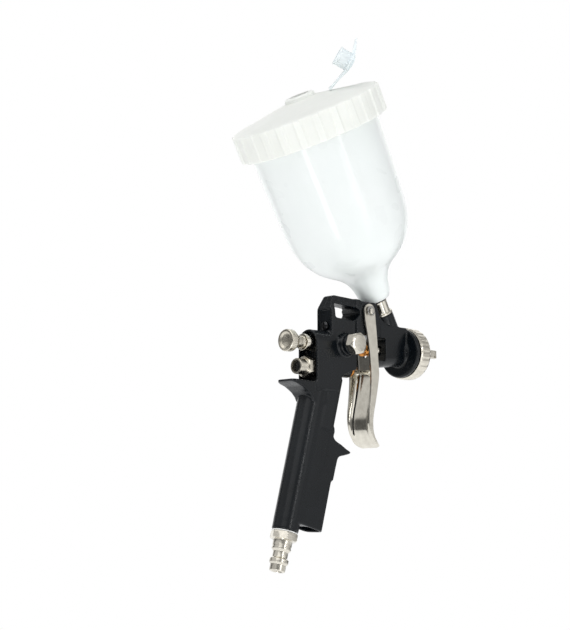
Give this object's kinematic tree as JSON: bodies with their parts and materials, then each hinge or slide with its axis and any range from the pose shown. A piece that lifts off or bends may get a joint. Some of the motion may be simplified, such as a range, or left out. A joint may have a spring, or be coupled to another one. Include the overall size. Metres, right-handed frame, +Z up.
{
  "type": "hvlp spray gun",
  "caption": "Gravity-feed air spray gun with a tilted milky cup, screw lid with vent plug, plated trigger, adjusters, air cap and quick-connect inlet plug.",
  "frame": {"origin": "underside of the hanging loop's top bar, at mid width, where a hook carries the gun", "axes": "+X is the spray direction, +Z is up, +Y is the gun's right side"},
  "size_m": [0.1626, 0.1038, 0.3481],
  "materials": {
    "black_nylon": "fine satin moulding",
    "nickel_plate": "bright nickel plating",
    "pressed_steel": "satin nickel plated pressing",
    "brass": "machined",
    "spring_steel": "drawn wire",
    "milky_polythene": "translucent blow moulding",
    "white_polythene": "satin moulding",
    "black_rubber": "matte",
    "ptfe": "waxy"
  },
  "bodies": {
    "gun": {"gun_body": "black_nylon", "inlet_plug": "nickel_plate", "inlet_seal": "ptfe", "trigger_pin": "nickel_plate", "trigger_clip": "spring_steel", "needle_packing": "ptfe", "packing_nut": "nickel_plate", "needle_spring": "spring_steel", "knob_bushing": "nickel_plate", "fluid_nozzle": "nickel_plate", "air_baffle": "brass", "air_valve_cap": "nickel_plate", "air_valve_spring": "spring_steel", "air_valve_seat": "black_rubber", "air_valve_gland": "brass", "pattern_collar": "black_nylon", "loop_screw": "spring_steel", "cup_adapter": "nickel_plate", "cup_gasket": "black_rubber"},
    "trigger": {"trigger": "pressed_steel"},
    "needle": {"fluid_needle": "nickel_plate", "needle_collar": "brass"},
    "valve_stem": {"air_valve_stem": "pressed_steel", "air_valve_poppet": "brass"},
    "knob_follower": {"spring_seat": "brass"},
    "fluid_knob": {"fluid_knob": "nickel_plate"},
    "pattern_valve": {"pattern_valve": "nickel_plate"},
    "air_cap": {"air_cap": "brass"},
    "air_cap_ring": {"air_cap_ring": "nickel_plate"},
    "cup": {"cup": "milky_polythene", "paint_strainer": "white_polythene"},
    "lid_seal": {"lid_seal": "white_polythene"},
    "lid": {"lid": "white_polythene"},
    "vent_plug": {"vent_plug": "white_polythene"}
  },
  "joints": [
    {"name": "trigger_pull", "type": "hinge", "parent": "gun", "child": "trigger", "pos_m": [0.02, 0, -0.0036], "axis": [0, 1, 0], "range_deg": [0, 12], "stiffness_Nm_per_rad": 1.6, "springref_deg": -17.19},
    {"name": "needle_slide", "type": "slide", "parent": "gun", "child": "needle", "axis": [-1, 0, 0], "range_m": [0, 0.0052], "deforming": ["needle_spring"]},
    {"name": "air_valve_slide", "type": "slide", "parent": "gun", "child": "valve_stem", "axis": [-1, 0, 0], "range_m": [0, 0.0087], "deforming": ["air_valve_spring"]},
    {"name": "fluid_knob_travel", "type": "slide", "parent": "gun", "child": "knob_follower", "axis": [-1, 0, 0], "range_m": [0, 0.003]},
    {"name": "fluid_knob_turn", "type": "hinge", "parent": "knob_follower", "child": "fluid_knob", "pos_m": [-0.04, 0, -0.028], "axis": [-1, 0, 0], "range_deg": [0, 1090]},
    {"name": "pattern_valve_turn", "type": "hinge", "parent": "gun", "child": "pattern_valve", "pos_m": [-0.002, -0.018, -0.028], "axis": [0, -1, 0], "range_deg": [0, 540]},
    {"name": "air_cap_turn", "type": "hinge", "parent": "gun", "child": "air_cap", "pos_m": [0.07, 0, -0.028], "axis": [1, 0, 0], "range_deg": [-90, 90]},
    {"name": "air_cap_ring_turn", "type": "hinge", "parent": "gun", "child": "air_cap_ring", "pos_m": [0.07, 0, -0.028], "axis": [1, 0, 0], "continuous": true},
    {"name": "cup_turn", "type": "hinge", "parent": "gun", "child": "cup", "pos_m": [0.0359, 0, 0.01097], "axis": [-0.5, 0, 0.866], "range_deg": [0, 360]},
    {"name": "lid_lift", "type": "slide", "parent": "cup", "child": "lid_seal", "axis": [-0.5, 0, 0.866], "range_m": [0, 0.06]},
    {"name": "lid_turn", "type": "hinge", "parent": "lid_seal", "child": "lid", "pos_m": [-0.0296, 0, 0.12442], "axis": [-0.5, 0, 0.866], "continuous": true},
    {"name": "vent_plug_fold", "type": "hinge", "parent": "lid", "child": "vent_plug", "pos_m": [-0.02288, -0.01561, 0.14089], "axis": [-0.6436, -0.6691, -0.3716], "range_deg": [0, 105]}
  ],
  "couplings": [
    {"joint": "needle_slide", "follows": "trigger_pull", "m_per_rad": 0.0244},
    {"joint": "air_valve_slide", "follows": "trigger_pull", "m_per_rad": 0.0404},
    {"joint": "fluid_knob_turn", "follows": "fluid_knob_travel", "rad_per_m": 6283.2}
  ]
}
